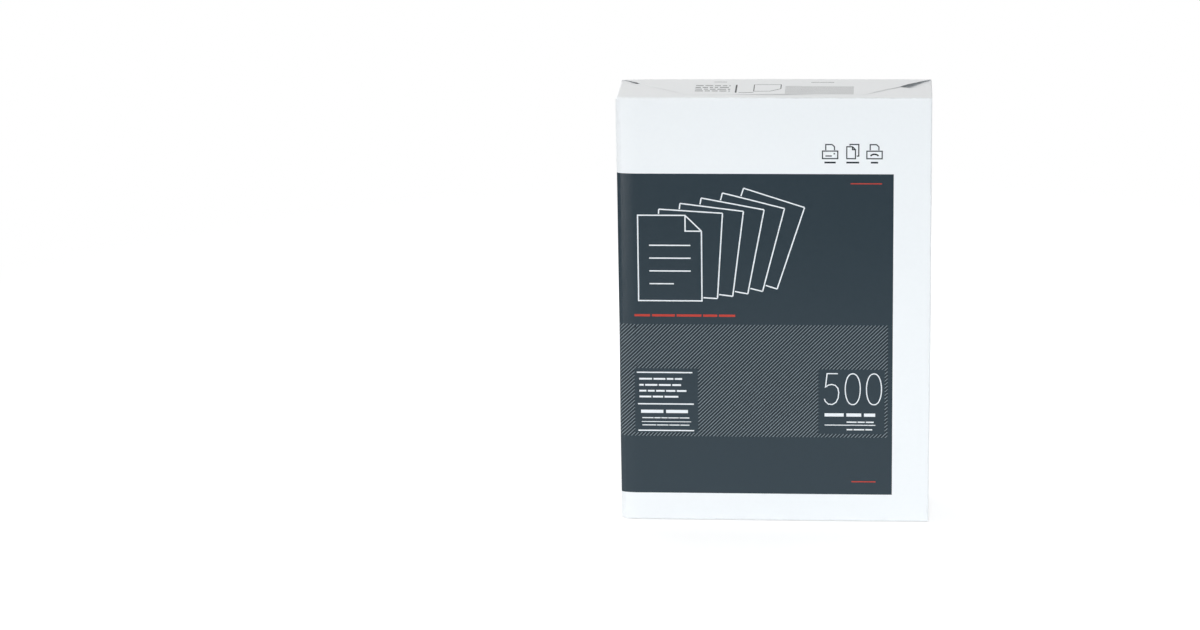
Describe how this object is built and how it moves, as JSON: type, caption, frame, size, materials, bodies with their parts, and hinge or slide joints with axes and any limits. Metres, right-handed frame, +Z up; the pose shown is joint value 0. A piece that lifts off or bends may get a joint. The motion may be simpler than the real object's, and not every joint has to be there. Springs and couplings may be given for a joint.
{
  "type": "ream of paper",
  "caption": "Sealed ream of A4 office paper in a printed paper wrapper, with envelope-folded ends and a glued back seam, standing on one end.",
  "frame": {"origin": "centre of the foot: the middle of the pack's outline on the plane it stands on", "axes": "+Z up along the sheets' long side, +Y from the label face to the seam on the back, +X to the right as the label is seen"},
  "size_m": [0.212, 0.054, 0.3],
  "materials": {
    "wrapper_paper": "smooth coated white wrapper with a slight sheen",
    "slate_print": "solid slate-blue printed field under the same coating",
    "pale_print": "white and light grey lines left open in the print",
    "grey_print": "dark grey printed marks on the white wrapper",
    "red_print": "warm red printed rules"
  },
  "bodies": {
    "root": {"wrapped_ream": "wrapper_paper"}
  },
  "joints": []
}
